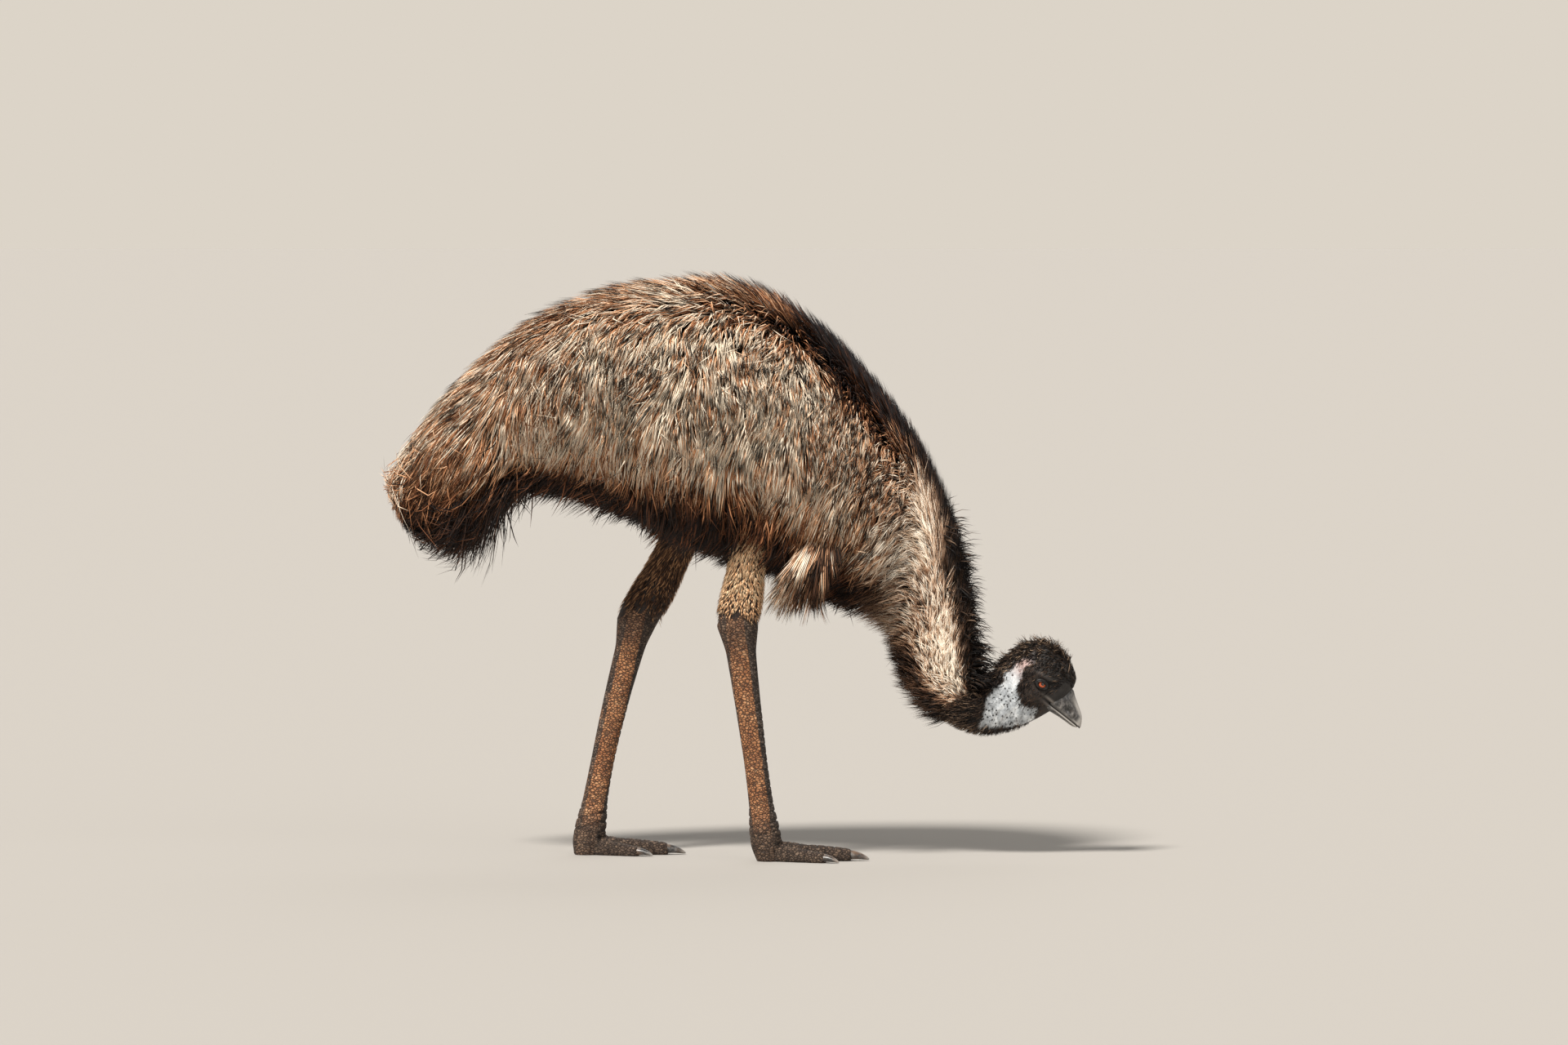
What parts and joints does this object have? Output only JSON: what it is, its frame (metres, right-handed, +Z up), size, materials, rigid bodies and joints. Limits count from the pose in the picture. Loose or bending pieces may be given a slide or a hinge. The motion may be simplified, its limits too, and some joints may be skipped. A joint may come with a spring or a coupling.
{
  "type": "emu",
  "caption": "Life-size still emu, standing in mid step with its long neck lowered and its bill near the ground.",
  "frame": {"origin": "on the floor under the middle of the bird's overall length and width", "axes": "+X the way the bird faces, +Y its left side, +Z up"},
  "size_m": [1.1994, 0.4265, 1.0147],
  "materials": {
    "body_feathers": "long, loose, double-shafted feathers, tan and cream with dark tips",
    "neck_bristles": "short, hair-like dark feathers over bluish-white skin",
    "spotted_down": "short buff feathers speckled with black",
    "scaly_skin": "brown scaled skin, crosswise plates over the toes and the front of the shank",
    "horn": "dark grey horn, softly glossy",
    "iris": "wet orange-red iris round a black pupil"
  },
  "bodies": {
    "root": {"tail": "body_feathers", "torso": "body_feathers", "neck_lower": "body_feathers", "neck_upper": "neck_bristles", "head": "neck_bristles", "bill_upper": "horn", "bill_lower": "horn", "eye_right": "iris", "wing_right": "body_feathers", "drumstick_right": "spotted_down", "shank_right": "scaly_skin", "toe_middle_right": "scaly_skin", "claw_middle_right": "horn", "toe_inner_right": "scaly_skin", "claw_inner_right": "horn", "toe_outer_right": "scaly_skin", "claw_outer_right": "horn", "eye_left": "iris", "wing_left": "body_feathers", "drumstick_left": "spotted_down", "shank_left": "scaly_skin", "toe_middle_left": "scaly_skin", "claw_middle_left": "horn", "toe_inner_left": "scaly_skin", "claw_inner_left": "horn", "toe_outer_left": "scaly_skin", "claw_outer_left": "horn"}
  },
  "joints": []
}
